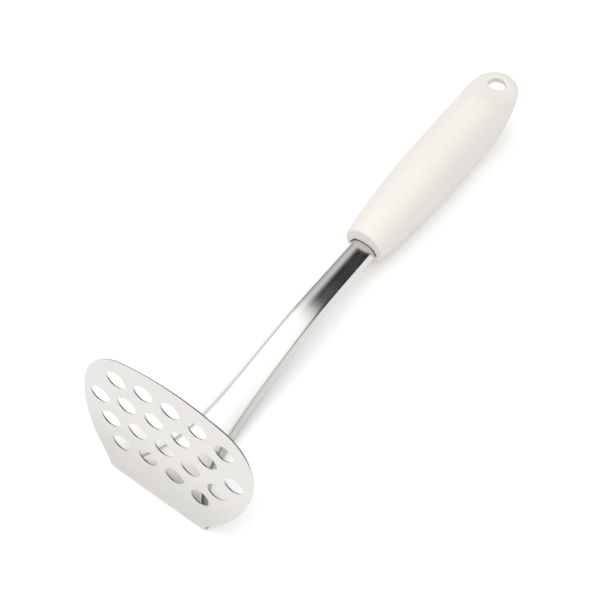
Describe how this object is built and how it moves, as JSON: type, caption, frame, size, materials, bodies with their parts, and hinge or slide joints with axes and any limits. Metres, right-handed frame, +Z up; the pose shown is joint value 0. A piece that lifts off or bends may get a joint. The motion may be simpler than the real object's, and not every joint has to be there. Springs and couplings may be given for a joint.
{
  "type": "potato masher",
  "caption": "Hand potato masher: a perforated plate folded from the same steel sheet as its channel shaft, with a moulded handle and a hanging hole.",
  "frame": {"origin": "on the table, under the middle of the whole length, on the symmetry plane", "axes": "+Z up from the table, +Y from the plate to the tip of the handle, +X across the plate"},
  "size_m": [0.0898, 0.2794, 0.0659],
  "materials": {
    "stainless_sheet": "fine satin stainless sheet, brighter on the shaft",
    "grip_plastic": "matte warm off-white moulding",
    "core_plastic": "plain grey inner moulding",
    "pin_steel": "plain steel pin"
  },
  "bodies": {
    "root": {"pressed_body": "stainless_sheet", "grip": "grip_plastic", "handle_core": "core_plastic", "tang_pin": "pin_steel"}
  },
  "joints": []
}
